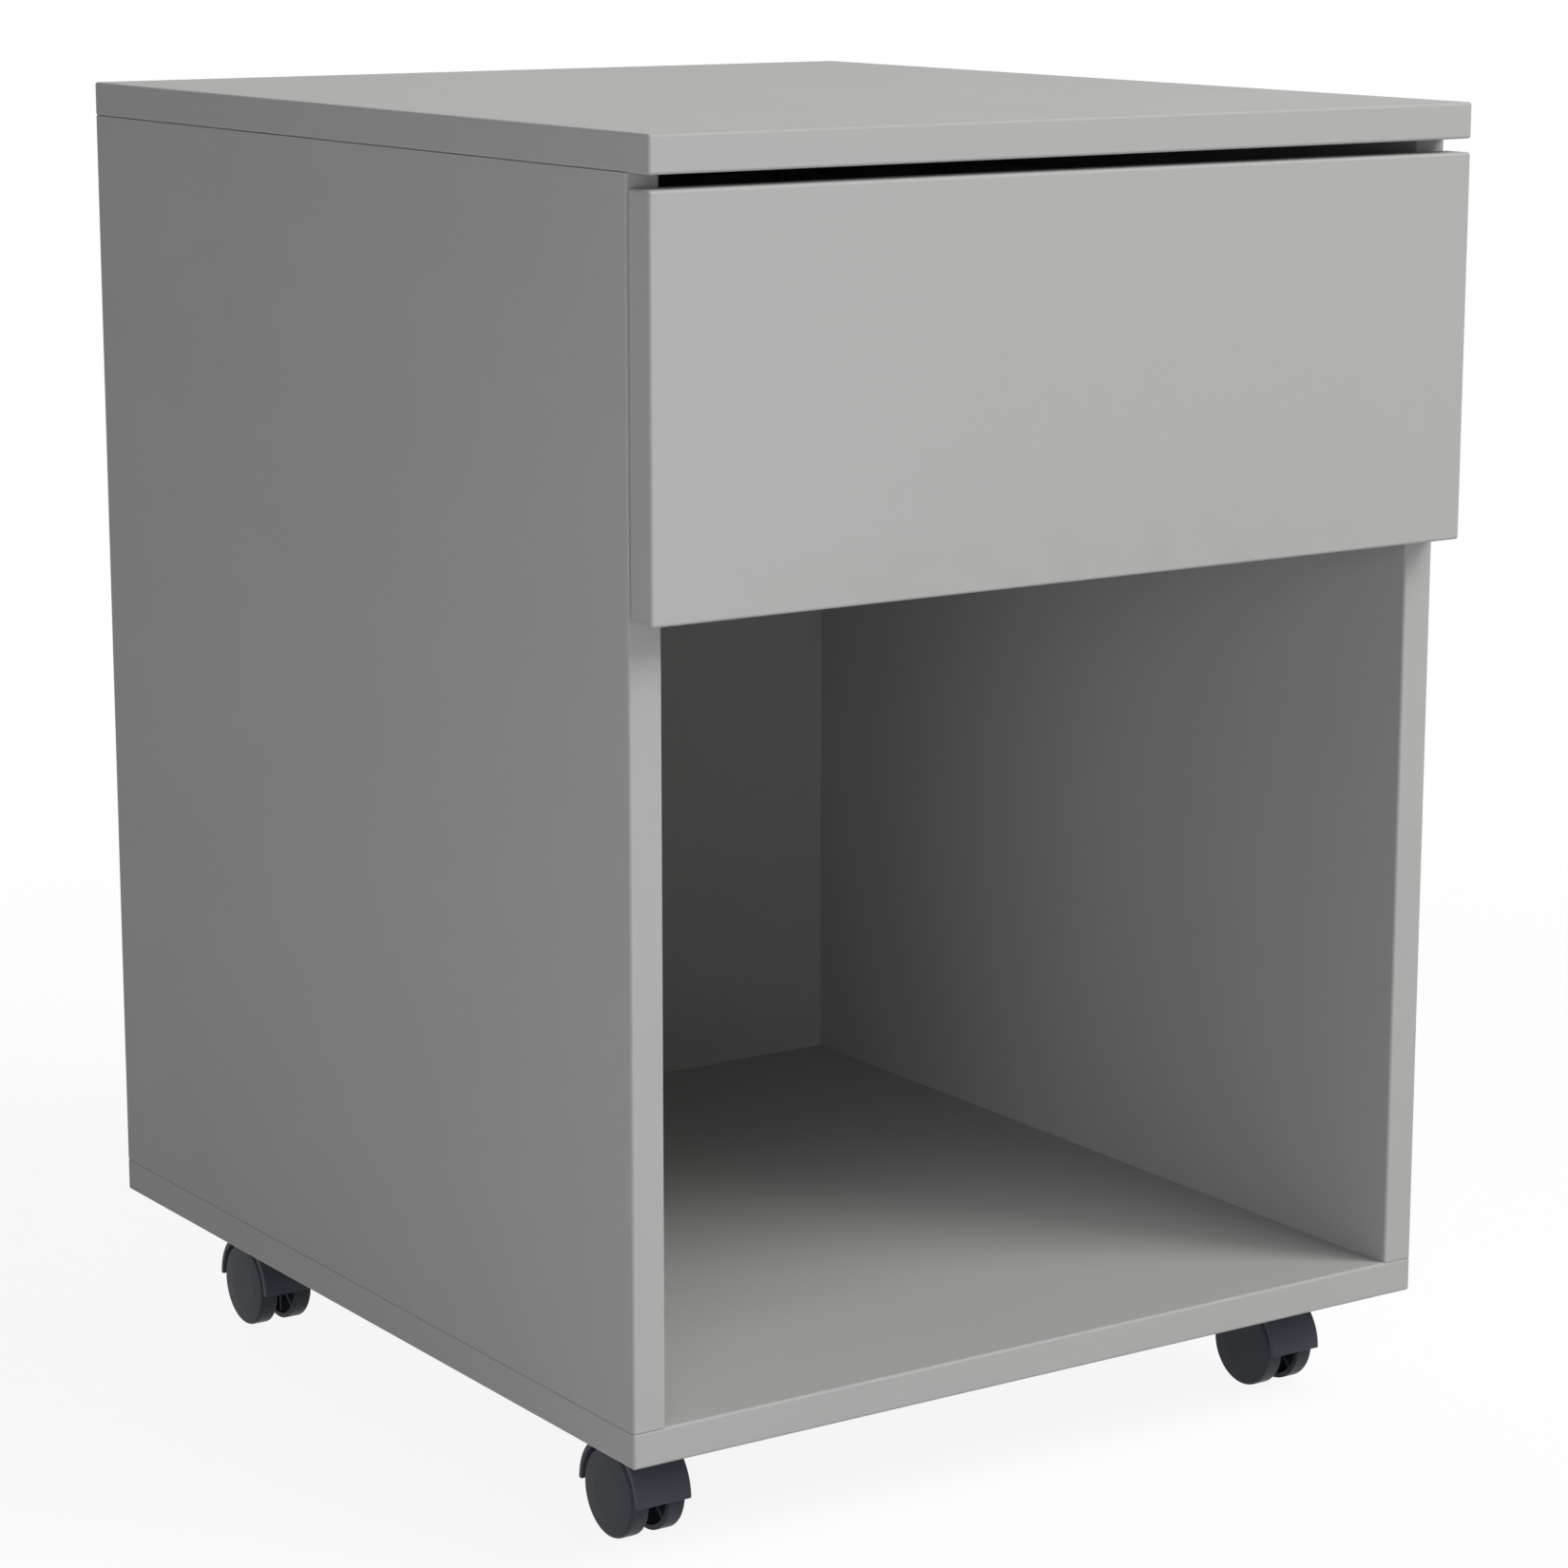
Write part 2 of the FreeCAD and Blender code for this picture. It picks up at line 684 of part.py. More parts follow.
def plate():
    """The mounting plate, with the king pin's hole and four screw holes."""
    low = hood_outer + neck_height
    half = plate_size / 2
    sheet = block((-half, trail - half, low), (half, trail + half, low + plate_thickness))
    corners = [edge for edge in sheet.Edges if edge.BoundBox.ZLength > plate_thickness / 2]
    sheet = sheet.makeFillet(plate_corner, corners)
    holes = [rod(plate_screw_diameter + 2 * seat, (x, trail + y, low), (x, trail + y, low + plate_thickness))
             for x in (-screw_offset, screw_offset) for y in (-screw_offset, screw_offset)]
    bore = king_pin_diameter / 2 + rivet_fit
    holes.append(rod(2 * bore, (0, trail, low), (0, trail, low + plate_thickness)))
    holes.append(Part.makeCone(bore, bore + rivet_flare, rivet_flare,
                               Vector(0, trail, low + plate_thickness - rivet_flare)))
    return sheet.cut(holes)


def save(name, solids):
    solid_list = solids if isinstance(solids, list) else [solids]
    shape = solid_list[0] if len(solid_list) == 1 else Part.makeCompound(solid_list)
    if not shape.isValid() or shape.Volume <= 0:
        raise ValueError(name + " is not a sound solid")
    shape.exportStep("parts/" + name + ".step")


def save_pair(name, right):
    """A right-hand piece and its mirror image, as two nodes."""
    save("right_" + name, right)
    save("left_" + name, mirrored(right))


def save_carcass():
    top, top_bands = top_panel()
    bottom, bottom_bands = bottom_panel()
    side, side_bands = right_side_panel()
    divider, divider_bands = shelf()
    save("top_panel", top)
    save("top_edge_bands", top_bands)
    save("bottom_panel", bottom)
    save("bottom_edge_bands", bottom_bands)
    save_pair("side_panel", side)
    save("side_edge_bands", both(side_bands))
    save("shelf", divider)
    save("shelf_edge_band", divider_bands)
    save("back_panel", back_panel())
    save("carcass_cam_locks", both(at_joints(cam_lock(board), top_cams + shelf_cams)))
    save("carcass_cam_bolts", both(at_joints(cam_bolt(), top_cams + shelf_cams)))
    save("carcass_dowels", both(at_places(dowel(), top_dowels + shelf_dowels + low_dowels)))
    screw = sunk_screw(bottom_screw_diameter, bottom_screw_length, bottom_screw_head_diameter,
                       bottom_screw_head)
    save("bottom_screws", both(at_places(screw, low_screws)))


def save_drawer():
    front, front_bands = drawer_front()
    save("drawer_front", front)
    save("drawer_front_edge_bands", front_bands)
    save_pair("drawer_side", right_box_side())
    save("drawer_back", box_back())
    save("drawer_bottom", box_bottom_space(0))
    save("drawer_cam_locks", both(at_joints(cam_lock(box_board), box_cams)))
    save("drawer_cam_bolts", both(at_joints(cam_bolt(), box_cams)))
    screw = sunk_screw(box_screw_diameter, box_screw_length, box_screw_head_diameter, box_screw_head)
    save("drawer_back_screws", both(at_places(screw, box_back_screws)))


def save_runners():
    save_pair("cabinet_runner", right_cabinet_runner())
    save_pair("drawer_runner", right_drawer_runner())
    save_pair("cabinet_roller", roller(cabinet_roller_x, front_roller_y, front_roller_z))
    save_pair("drawer_roller", roller(drawer_roller_x, rear_roller_y, runner_z))
    cabinet_pin = roller_pin(inner_x, cabinet_roller_x, front_roller_y, front_roller_z)
    drawer_pin = roller_pin(box_x, drawer_roller_x + roller_width, rear_roller_y, runner_z)
    save("cabinet_roller_pins", both([cabinet_pin]))
    save("drawer_roller_pins", both([drawer_pin]))
    screw = pan_screw(runner_screw_diameter, runner_screw_length, runner_screw_head_diameter,
                      runner_screw_head)
    save("cabinet_runner_screws", both(at_places(screw, cabinet_screws)))
    save("drawer_runner_screws", both(at_places(screw, box_runner_screws)))


def save_casters():
    """Each caster is drawn about its axle's middle and stands with its wheels in front of the king pin."""
    right_wheel = wheel()
    pieces = {"hood": hood(), "clip": clip(), "axle": axle(),
              "right_wheel": right_wheel, "left_wheel": mirrored(right_wheel)}
    fixed = {"caster_plates": plate(), "caster_king_pins": king_pin(), "caster_washers": washer()}
    places = {}
    for row, y in caster_rows.items():
        for side, x in (("left", -caster_x), ("right", caster_x)):
            places[row + "_" + side] = (x, y - trail, axle_z)
    for corner, place in places.items():
        for name, piece in pieces.items():
            save(corner + "_caster_" + name, moved(piece, place))
    for name, piece in fixed.items():
        save(name, [moved(piece, place) for place in places.values()])
    screw = pan_screw(plate_screw_diameter, plate_screw_length, plate_screw_head_diameter, plate_screw_head)
    save("caster_plate_screws", both(at_places(screw, plate_screw_places())))


os.makedirs("parts", exist_ok=True)
save_carcass()
save_drawer()
save_runners()
save_casters()
print("drawer travel", round(drawer_travel, 3), "roller width", round(roller_width, 3))
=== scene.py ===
import json
import math

import bmesh
import bpy
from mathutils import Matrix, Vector


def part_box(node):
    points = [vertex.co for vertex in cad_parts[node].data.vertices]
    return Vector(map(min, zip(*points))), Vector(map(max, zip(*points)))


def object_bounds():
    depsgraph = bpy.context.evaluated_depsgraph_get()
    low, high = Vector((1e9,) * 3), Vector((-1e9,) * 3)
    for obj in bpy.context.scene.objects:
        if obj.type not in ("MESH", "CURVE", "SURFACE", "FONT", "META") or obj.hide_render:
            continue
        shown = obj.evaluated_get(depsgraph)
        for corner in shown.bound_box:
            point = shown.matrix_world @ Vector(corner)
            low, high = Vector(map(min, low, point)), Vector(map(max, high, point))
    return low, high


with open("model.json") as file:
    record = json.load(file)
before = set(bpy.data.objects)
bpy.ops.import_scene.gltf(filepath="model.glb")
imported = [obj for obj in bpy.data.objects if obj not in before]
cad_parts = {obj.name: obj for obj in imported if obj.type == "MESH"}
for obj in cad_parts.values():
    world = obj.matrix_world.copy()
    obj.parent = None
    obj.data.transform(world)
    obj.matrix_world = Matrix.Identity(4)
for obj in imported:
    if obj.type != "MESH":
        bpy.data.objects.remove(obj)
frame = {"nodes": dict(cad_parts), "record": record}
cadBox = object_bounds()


def tone(red, green, blue):  # a screen colour, 0 to 255, as the shader wants it
    def linear(value):
        share = value / 255
        return share / 12.92 if share <= 0.04045 else ((share + 0.055) / 1.055) ** 2.4
    return linear(red), linear(green), linear(blue), 1.0


# One value on its way through a material. Sums on it add Math nodes.
class Wire:
    def __init__(self, finish, socket):
        self.finish = finish
        self.socket = socket

    def maths(self, operation, *values):
        return self.finish.add("Math", {"operation": operation}, dict(enumerate(values)))

    def __add__(self, other):
        return self.maths("ADD", self, other)

    def __radd__(self, other):
        return self.maths("ADD", other, self)

    def __sub__(self, other):
        return self.maths("SUBTRACT", self, other)

    def __rsub__(self, other):
        return self.maths("SUBTRACT", other, self)

    def __mul__(self, other):
        return self.maths("MULTIPLY", self, other)

    def __rmul__(self, other):
        return self.maths("MULTIPLY", other, self)

    def __pow__(self, other):
        return self.maths("POWER", self, other)

    def __abs__(self):
        return self.maths("ABSOLUTE", self)

    def orMore(self, other):
        return self.maths("MAXIMUM", self, other)

    def wave(self):
        return self.maths("SINE", self)

    def swing(self, width):  # a 0 to 1 grain turned into half a width each way
        return (self - 0.5) * width

    def rise(self, low, high):  # 0 before low, 1 past high, eased between
        eased = {"interpolation_type": "SMOOTHSTEP"}
        return self.finish.add("MapRange", eased, {"Value": self, "From Min": low, "From Max": high})


# A material, or the studio air, in the making
class Finish:
    def __init__(self, name, store=bpy.data.materials):
        self.owner = store.new(name)
        self.owner.use_nodes = True
        self.tree = self.owner.node_tree
        self.tree.nodes.clear()

    def add(self, kind, settings, sockets, out=0):
        node = self.tree.nodes.new("ShaderNode" + kind)
        for name, value in settings.items():
            setattr(node, name, value)
        for key, value in sockets.items():
            if isinstance(value, Wire):
                self.tree.links.new(value.socket, node.inputs[key])
            else:
                node.inputs[key].default_value = value
        return Wire(self, node.outputs[out]) if len(node.outputs) else self.owner

    def place(self, kind="Object"):  # metres in the rest frame, or 0 to 1 across the piece
        return self.add("TexCoord", {}, {}, kind)

    def axes(self, vector):
        split = self.add("SeparateXYZ", {}, {0: vector})
        return [Wire(self, output) for output in split.socket.node.outputs]

    def facing(self):
        return self.axes(self.add("NewGeometry", {}, {}, "Normal"))

    def fromAxle(self, diameter):  # distance from the middle of a turned piece whose axle lies along X
        x, y, z = self.axes(self.place("Generated"))
        return diameter * ((y - 0.5) ** 2 + (z - 0.5) ** 2) ** 0.5

    def stretch(self, vector, scale):
        return self.add("VectorMath", {"operation": "MULTIPLY"}, {0: vector, 1: scale})

    def noise(self, vector, scale):  # scale is grains per metre
        return self.add("TexNoise", {}, {"Vector": vector, "Scale": scale, "Detail": 3.0})

    def tint(self, factor, first, second):
        return self.add("Mix", {"data_type": "RGBA"}, {0: factor, 6: first, 7: second}, 2)

    def bump(self, height, depth):
        return self.add("Bump", {}, {"Distance": depth, "Height": height})

    def surface(self, colour, roughness, normal, fixed):
        sockets = {"Base Color": colour, "Roughness": roughness, "Normal": normal}
        shader = self.add("BsdfPrincipled", {}, sockets | fixed)
        return self.add("OutputMaterial", {}, {"Surface": shader})


# Melamine-faced board: a matt print with a fine pearl emboss, a little cloudy over a hand's breadth
melamine = {
    "pale": tone(171, 171, 169), "deep": tone(166, 166, 164),
    "cloud": 8.0, "cloudShare": 0.55, "speck": 1300.0, "speckShare": 0.45,
    "emboss": 850.0, "embossDepth": 0.00005, "embossSpread": 0.08,
    "rough": 0.57, "smudge": 22.0, "smudgeSpread": 0.10, "gloss": 0.28,
}


def printedBoard(finish, place, look):
    cloud = finish.noise(place, look["cloud"])
    speck = finish.noise(place, look["speck"])
    emboss = finish.noise(place, look["emboss"])
    smudge = finish.noise(place, look["smudge"])
    colour = finish.tint(look["cloudShare"] * cloud + look["speckShare"] * speck, look["deep"], look["pale"])
    roughness = look["rough"] + smudge.swing(look["smudgeSpread"]) + emboss.swing(look["embossSpread"])
    return colour, roughness, finish.bump(emboss, look["embossDepth"])


def melamineFinish(name, look):
    finish = Finish(name)
    colour, roughness, normal = printedBoard(finish, finish.place(), look)
    return finish.surface(colour, roughness, normal, {"Specular IOR Level": look["gloss"]})


# The drawer is pulled by its lower lip, so the board is polished and a shade darker there
pulledLip = {
    "height": 0.034, "handEnd": 0.22, "handMiddle": 0.033, "patch": 55.0, "patchEdges": (0.35, 0.7),
    "grime": tone(158, 157, 152), "grimeShare": 0.35, "polish": 0.13,
}


def drawerFrontFinish(name, look, wear):
    finish = Finish(name)
    place = finish.place()
    colour, roughness, normal = printedBoard(finish, place, look)
    x, y, z = finish.axes(place)
    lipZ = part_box("drawer_front_edge_bands")[0].z
    pulled = z.rise(lipZ + wear["height"], lipZ) * abs(x).rise(wear["handEnd"], wear["handMiddle"])
    handled = pulled * finish.noise(place, wear["patch"]).rise(*wear["patchEdges"])
    soiled = finish.tint(wear["grimeShare"] * handled, colour, wear["grime"])
    polished = roughness - wear["polish"] * handled
    return finish.surface(soiled, polished, normal, {"Specular IOR Level": look["gloss"]})


# Edge band: the same grey in plastic, with faint marks of the trimming cutter, and rubbed arrises that are
# polished and painted a shade darker: painted shade that damps the highlight on the arrises
edgeBand = {
    "pale": tone(171, 171, 169), "deep": tone(166, 166, 164), "cloud": 14.0,
    # the arris tone is painted shade, darker than the band, to damp the arris highlight
    "arrisShadeTone": tone(160, 160, 157), "arrisShadeShare": 0.55, "rubShadePatch": 120.0, "rubShadeEdges": (0.3, 0.65),
    "flat": 0.99, "leaning": 0.86,  # a face that leans off the axes is a rounded arris
    "cutter": 2400.0, "cutterDepth": 0.000012,
    "rough": 0.56, "roughSpread": 0.08, "polish": 0.06, "gloss": 0.28,
}


def edgeBandFinish(name, look):
    finish = Finish(name)
    place = finish.place()
    nx, ny, nz = finish.facing()
    arris = abs(nx).orMore(abs(ny)).orMore(abs(nz)).rise(look["flat"], look["leaning"])
    cloud = finish.noise(place, look["cloud"])
    # patches on the rounded arrises: polished by rubbing, and carrying the painted arris shade
    rubbed = arris * finish.noise(place, look["rubShadePatch"]).rise(*look["rubShadeEdges"])
    plain = finish.tint(cloud, look["deep"], look["pale"])
    # painted shade: the arris patches are tinted darker than the band
    colour = finish.tint(look["arrisShadeShare"] * rubbed, plain, look["arrisShadeTone"])
    roughness = look["rough"] + cloud.swing(look["roughSpread"]) - look["polish"] * rubbed
    normal = finish.bump(finish.noise(place, look["cutter"]), look["cutterDepth"])
    return finish.surface(colour, roughness, normal, {"Specular IOR Level": look["gloss"]})


# Lacquered fibreboard: thin panels with a slightly hairy, mottled face
fibreboard = {
    "pale": tone(169, 169, 167), "deep": tone(160, 160, 158),
    "mottle": 60.0, "mottleShare": 0.6, "fibre": 420.0, "fibreShare": 0.3, "fibreRun": (1.0, 1.0, 3.5),
    "fleck": 900.0, "fleckEdges": (0.62, 0.74), "fleckShare": 0.25,
    "fibreDepth": 0.00005, "rough": 0.58, "roughSpread": 0.10, "gloss": 0.4,
}


def fibreboardFinish(name, look):
    finish = Finish(name)
    place = finish.place()
    mottle = finish.noise(place, look["mottle"])
    fibre = finish.noise(finish.stretch(place, look["fibreRun"]), look["fibre"])
    fleck = finish.noise(place, look["fleck"]).rise(*look["fleckEdges"])
    share = look["mottleShare"] * mottle + look["fibreShare"] * fibre - look["fleckShare"] * fleck
    colour = finish.tint(share, look["deep"], look["pale"])
    roughness = look["rough"] + fibre.swing(look["roughSpread"])
    normal = finish.bump(fibre, look["fibreDepth"])
    return finish.surface(colour, roughness, normal, {"Specular IOR Level": look["gloss"]})


# Foil-wrapped drawer sides: a paler grey with a faint linen print
drawerFoil = {
    "pale": tone(188, 188, 185), "deep": tone(180, 180, 177), "cloud": 10.0,
    "thread": 2600.0, "warp": (1.0, 0.04, 1.0), "weft": (1.0, 1.0, 0.04), "linenDepth": 0.00002,
    "rough": 0.46, "roughSpread": 0.12, "gloss": 0.4,
}


def drawerFoilFinish(name, look):
    finish = Finish(name)
    place = finish.place()
    warp = finish.noise(finish.stretch(place, look["warp"]), look["thread"])
    weft = finish.noise(finish.stretch(place, look["weft"]), look["thread"])
    linen = 0.5 * (warp + weft)
    cloud = finish.noise(place, look["cloud"])
    colour = finish.tint(0.5 * (linen + cloud), look["deep"], look["pale"])
    roughness = look["rough"] + linen.swing(look["roughSpread"])
    normal = finish.bump(linen, look["linenDepth"])
    return finish.surface(colour, roughness, normal, {"Specular IOR Level": look["gloss"]})


# Coated runner steel: pale powder coat with orange peel, rubbed to a sheen where the rollers run
runnerCoat = {
    "pale": tone(205, 205, 202), "deep": tone(196, 196, 193), "cloud": 30.0,
    "track": tone(150, 152, 154), "trackShare": 0.55, "streak": 900.0, "streakRun": (1.0, 0.02, 1.0),
    "streakEdges": (0.48, 0.66), "level": (0.9, 0.99),  # only level faces carry a roller
    "peel": 520.0, "peelDepth": 0.00006, "rough": 0.38, "roughSpread": 0.08, "polish": 0.12,
}


def runnerCoatFinish(name, look):
    finish = Finish(name)
    place = finish.place()
    nx, ny, nz = finish.facing()
    peel = finish.noise(place, look["peel"])
    streak = finish.noise(finish.stretch(place, look["streakRun"]), look["streak"])
    rubbed = abs(nz).rise(*look["level"]) * streak.rise(*look["streakEdges"])
    coat = finish.tint(finish.noise(place, look["cloud"]), look["deep"], look["pale"])
    colour = finish.tint(look["trackShare"] * rubbed, coat, look["track"])
    roughness = look["rough"] + peel.swing(look["roughSpread"]) - look["polish"] * rubbed
    return finish.surface(colour, roughness, finish.bump(peel, look["peelDepth"]), {})


# Nylon rollers: milky, with turned rings on the flanks and a darker worn tread
rollerNylon = {
    "diameter": 0.018, "pale": tone(222, 221, 214), "worn": tone(176, 174, 166), "wornShare": 0.7,
    "treadFrom": 0.0084, "treadTo": 0.0089, "grit": 700.0, "gritEdges": (0.3, 0.75),
    "ringsPerMetre": 9000.0, "ringDepth": 0.000008, "rough": 0.36, "roughSpread": 0.06, "scuff": 0.14,
    "milk": 0.08, "milkDepth": 0.002,
}


def rollerNylonFinish(name, look):
    finish = Finish(name)
    radius = finish.fromAxle(look["diameter"])
    grit = finish.noise(finish.place(), look["grit"])
    tread = radius.rise(look["treadFrom"], look["treadTo"]) * grit.rise(*look["gritEdges"])
    colour = finish.tint(look["wornShare"] * tread, look["pale"], look["worn"])
    roughness = look["rough"] + grit.swing(look["roughSpread"]) + look["scuff"] * tread
    normal = finish.bump((radius * look["ringsPerMetre"]).wave(), look["ringDepth"])
    return finish.surface(colour, roughness, normal, {"Subsurface Weight": look["milk"],
                                                      "Subsurface Scale": look["milkDepth"]})


# Caster plastic: slate black with a fine spark texture, scuffed treads and a little dust on top
casterPlastic = {
    "pale": tone(61, 65, 71), "deep": tone(52, 56, 62), "flow": 65.0, "flowShare": 0.7, "sparkShare": 0.3,
    "dust": tone(104, 104, 103), "spark": 2600.0, "sparkDepth": 0.00002,
    "rough": 0.42, "flowSpread": 0.10, "sparkSpread": 0.08, "gloss": 0.12,
}


def mouldedPlastic(finish, place, look):
    spark = finish.noise(place, look["spark"])
    flow = finish.noise(place, look["flow"])
    colour = finish.tint(look["flowShare"] * flow + look["sparkShare"] * spark, look["deep"], look["pale"])
    roughness = look["rough"] + flow.swing(look["flowSpread"]) + spark.swing(look["sparkSpread"])
    return colour, roughness, finish.bump(spark, look["sparkDepth"])


wheelWear = {
    "diameter": 0.040, "treadFrom": 0.0190, "treadTo": 0.0198, "grit": 210.0, "gritRun": (4.0, 1.0, 1.0),
    "gritEdges": (0.5, 0.75), "dustShare": 0.30, "scuff": 0.18,
}


def casterWheelFinish(name, look, wear):
    finish = Finish(name)
    place = finish.place()
    colour, roughness, normal = mouldedPlastic(finish, place, look)
    grit = finish.noise(finish.stretch(place, wear["gritRun"]), wear["grit"])
    tread = finish.fromAxle(wear["diameter"]).rise(wear["treadFrom"], wear["treadTo"])
    dusty = tread * grit.rise(*wear["gritEdges"])
    colour = finish.tint(wear["dustShare"] * dusty, colour, look["dust"])
    roughness = roughness + wear["scuff"] * dusty
    return finish.surface(colour, roughness, normal, {"Specular IOR Level": look["gloss"]})


# The hoods use the caster plastic painted a shade paler than the wheels: painted light for the floor light
# that the hood fronts catch
paintedLitHoodPlastic = casterPlastic | {"pale": tone(78, 82, 89), "deep": tone(68, 72, 79)}
hoodWear = {
    "upward": (0.55, 0.95), "patch": 260.0, "patchEdges": (0.4, 0.7), "dustShare": 0.25, "scuff": 0.15,
}


def casterHoodFinish(name, look, wear):
    finish = Finish(name)
    place = finish.place()
    colour, roughness, normal = mouldedPlastic(finish, place, look)
    nx, ny, nz = finish.facing()
    settled = nz.rise(*wear["upward"]) * finish.noise(place, wear["patch"]).rise(*wear["patchEdges"])
    colour = finish.tint(wear["dustShare"] * settled, colour, look["dust"])
    roughness = roughness + wear["scuff"] * settled
    return finish.surface(colour, roughness, normal, {"Specular IOR Level": look["gloss"]})


# Zinc plate on screws, pins and plates: bright, faintly blue, with soft patches in the plating
zincPlate = {
    "pale": tone(205, 208, 212), "deep": tone(176, 180, 186), "patch": 140.0,
    "passive": tone(196, 196, 184), "passivePatch": 60.0, "passiveShare": 0.35,
    "drawn": 1500.0, "drawnRun": (1.0, 1.0, 6.0), "drawnDepth": 0.00001,
    "rough": 0.30, "patchSpread": 0.16, "drawnSpread": 0.10,
}


def zincPlateFinish(name, look):
    finish = Finish(name)
    place = finish.place()
    patch = finish.noise(place, look["patch"])
    drawn = finish.noise(finish.stretch(place, look["drawnRun"]), look["drawn"])
    plating = finish.tint(patch, look["deep"], look["pale"])
    passivated = look["passiveShare"] * finish.noise(place, look["passivePatch"])
    colour = finish.tint(passivated, plating, look["passive"])
    roughness = look["rough"] + patch.swing(look["patchSpread"]) + drawn.swing(look["drawnSpread"])
    return finish.surface(colour, roughness, finish.bump(drawn, look["drawnDepth"]), {"Metallic": 1.0})


# Die-cast zinc of the cams: duller, with a grainy skin
zincCast = {
    "pale": tone(176, 177, 178), "deep": tone(148, 149, 151), "pool": 260.0, "poolShare": 0.4,
    "grain": 1700.0, "grainShare": 0.6, "grainDepth": 0.00003, "rough": 0.46, "roughSpread": 0.18,
}


def zincCastFinish(name, look):
    finish = Finish(name)
    place = finish.place()
    grain = finish.noise(place, look["grain"])
    pool = finish.noise(place, look["pool"])
    colour = finish.tint(look["grainShare"] * grain + look["poolShare"] * pool, look["deep"], look["pale"])
    roughness = look["rough"] + grain.swing(look["roughSpread"])
    return finish.surface(colour, roughness, finish.bump(grain, look["grainDepth"]), {"Metallic": 1.0})


# Beech dowels: pinkish straw with short ray flecks along the grain
beech = {
    "pale": tone(214, 178, 134), "deep": tone(190, 148, 102), "grain": 160.0, "grainRun": (9.0, 9.0, 1.0),
    "fleckTone": tone(160, 116, 76), "fleck": 520.0, "fleckRun": (6.0, 6.0, 1.0), "fleckEdges": (0.6, 0.7),
    "fleckShare": 0.6, "grainDepth": 0.00008, "rough": 0.65, "roughSpread": 0.10,
}


def beechFinish(name, look):
    finish = Finish(name)
    place = finish.place()
    grain = finish.noise(finish.stretch(place, look["grainRun"]), look["grain"])
    fleck = finish.noise(finish.stretch(place, look["fleckRun"]), look["fleck"]).rise(*look["fleckEdges"])
    wood = finish.tint(grain, look["deep"], look["pale"])
    colour = finish.tint(look["fleckShare"] * fleck, wood, look["fleckTone"])
    roughness = look["rough"] + grain.swing(look["roughSpread"])
    return finish.surface(colour, roughness, finish.bump(grain, look["grainDepth"]), {})


finishes = {
    "grey_melamine_board": melamineFinish("greyMelamine", melamine),
    "grey_edge_band": edgeBandFinish("greyEdgeBand", edgeBand),
    "grey_fibreboard": fibreboardFinish("greyFibreboard", fibreboard),
    "drawer_board": drawerFoilFinish("drawerFoil", drawerFoil),
    "beech_dowel": beechFinish("beechDowel", beech),
    "coated_runner_steel": runnerCoatFinish("runnerCoat", runnerCoat),
    "roller_nylon": rollerNylonFinish("rollerNylon", rollerNylon),
    "caster_wheel_plastic": casterWheelFinish("casterWheel", casterPlastic, wheelWear),
    # the hood plastic is the caster plastic painted paler: painted light
    "caster_hood_plastic": casterHoodFinish("casterHood", paintedLitHoodPlastic, hoodWear),
    "zinc_casting": zincCastFinish("zincCasting", zincCast),
    "zinc_plated_steel": zincPlateFinish("zincPlate", zincPlate),
}
for subpart in frame["record"]["subparts"]:
    frame["nodes"][subpart["node"]].material_slots[0].material = finishes[subpart["material_slot"]]
frontFinish = drawerFrontFinish("drawerFrontMelamine", melamine, pulledLip)
frame["nodes"]["drawer_front"].material_slots[0].material = frontFinish
print("finishes:", len(finishes) + 1, "on", len(frame["nodes"]), "nodes")


# What the lens, gloss and clear things see of the studio is white
def whiteSeen(finish):
    lens = finish.add("LightPath", {}, {}, "Is Camera Ray")
    gloss = finish.add("LightPath", {}, {}, "Is Glossy Ray")
    clear = finish.add("LightPath", {}, {}, "Is Transmission Ray")
    return lens.orMore(gloss).orMore(clear)


# Floor: white with a soft shadow near the piece, paler far out, open when seen from below
studioFloor = {
    "half": 30.0, "cells": 8, "drop": 0.0002, "white": (1.0, 1.0, 1.0, 1.0),
    "seenPaint": (0.95, 0.95, 0.95, 1.0), "bouncePaint": (0.60, 0.60, 0.60, 1.0),
    "glowNear": 0.90, "near": 0.5, "far": 1.6,
}


def makeFloor(look):
    mesh = bpy.data.meshes.new("studioFloor")
    grid = bmesh.new()
    bmesh.ops.create_grid(grid, x_segments=look["cells"], y_segments=look["cells"], size=look["half"])
    grid.to_mesh(mesh)
    grid.free()
    floor = bpy.data.objects.new("studioFloor", mesh)
    floor.location.z = -look["drop"]
    bpy.context.scene.collection.objects.link(floor)
    finish = Finish("studioFloorPaint")
    x, y, z = finish.axes(finish.place())
    away = (x ** 2 + y ** 2) ** 0.5
    glow = look["glowNear"] + (1 - look["glowNear"]) * away.rise(look["near"], look["far"])
    seen = whiteSeen(finish)
    bounce = finish.add("BsdfDiffuse", {}, {"Color": look["bouncePaint"]})
    paint = finish.add("BsdfDiffuse", {}, {"Color": look["seenPaint"]})
    light = finish.add("Emission", {}, {"Color": look["white"], "Strength": 1.0})
    shown = finish.add("MixShader", {}, {0: glow, 1: paint, 2: light})
    above = finish.add("MixShader", {}, {0: seen, 1: bounce, 2: shown})
    under = finish.add("NewGeometry", {}, {}, "Backfacing")
    below = finish.add("BsdfTransparent", {}, {})
    oneSided = finish.add("MixShader", {}, {0: under, 1: above, 2: below})
    mesh.materials.append(finish.add("OutputMaterial", {}, {"Surface": oneSided}))


# Soft air: bright from the right, the front and above, dim from the other half
studioAir = {
    "bright": 0.27, "brightTint": (1.0, 1.0, 1.0, 1.0), "dim": 0.03, "dimTint": (0.94, 0.94, 1.0, 1.0),
    "towards": (0.60, -0.58, 0.55), "blend": 0.35, "white": (1.0, 1.0, 1.0, 1.0),
}


